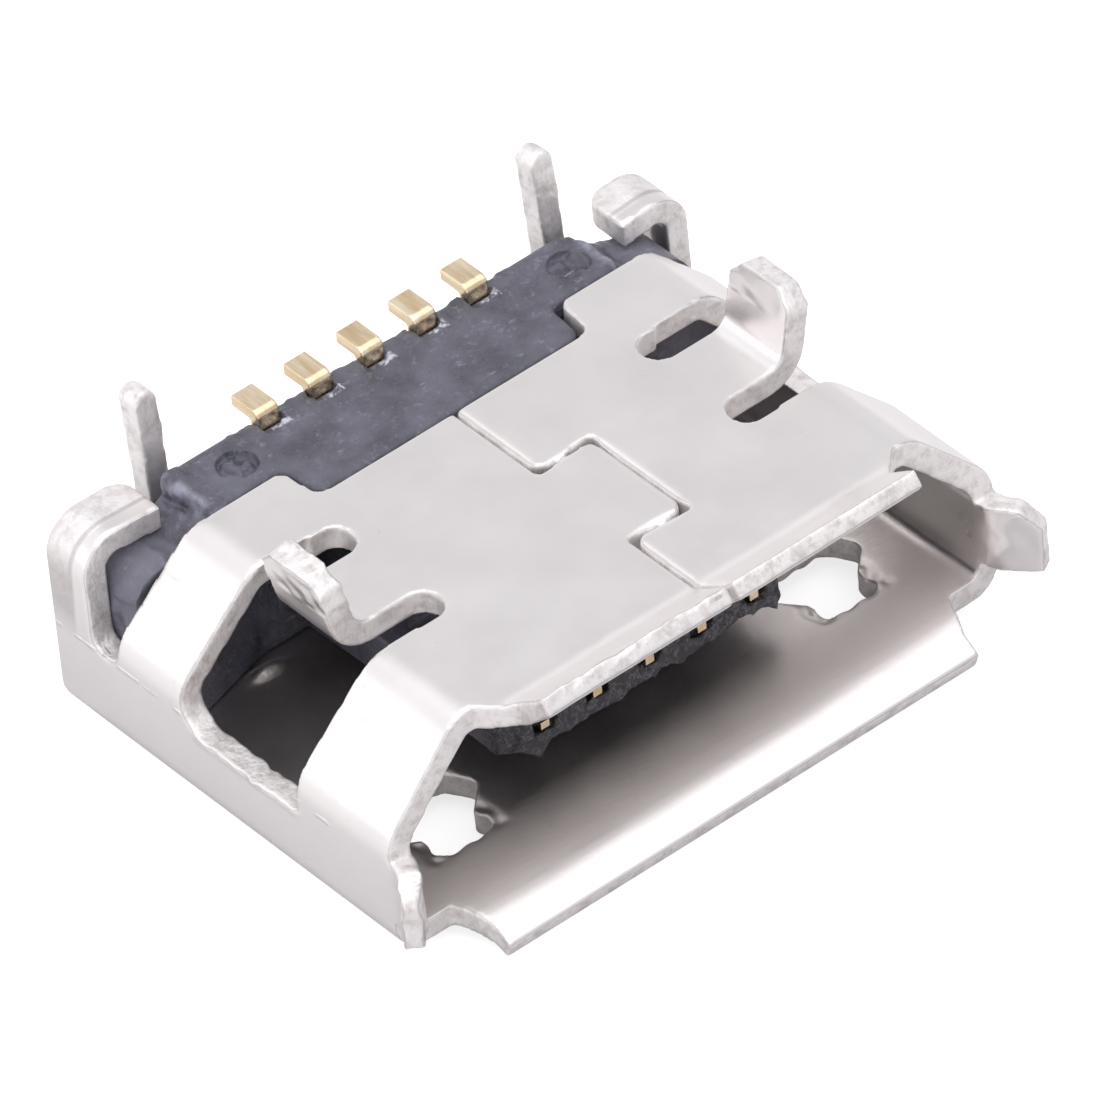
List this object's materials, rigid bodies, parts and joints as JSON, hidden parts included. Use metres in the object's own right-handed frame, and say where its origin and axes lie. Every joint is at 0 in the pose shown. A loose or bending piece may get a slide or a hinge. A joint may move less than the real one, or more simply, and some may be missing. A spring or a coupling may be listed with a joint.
{
  "type": "charging port connector",
  "caption": "Board-mount charging socket: a folded steel shell with a flared mouth and four bent legs around a dark moulded core, with gold contacts whose tails leave at the rear.",
  "frame": {"origin": "on the board-seat face, on the centre line, in the plane of the mouth", "axes": "+X along the row of contacts; -Y out of the mouth; +Z towards the circuit board, along the legs"},
  "size_m": [0.008, 0.0061, 0.0034],
  "materials": {
    "plated_steel": "satin nickel plate",
    "dark_moulding": "fine matte moulding",
    "gold_plate": "bright gold plate"
  },
  "bodies": {
    "root": {"shell": "plated_steel", "housing": "dark_moulding", "contact_1": "gold_plate", "contact_2": "gold_plate", "contact_3": "gold_plate", "contact_4": "gold_plate", "contact_5": "gold_plate"}
  },
  "joints": []
}
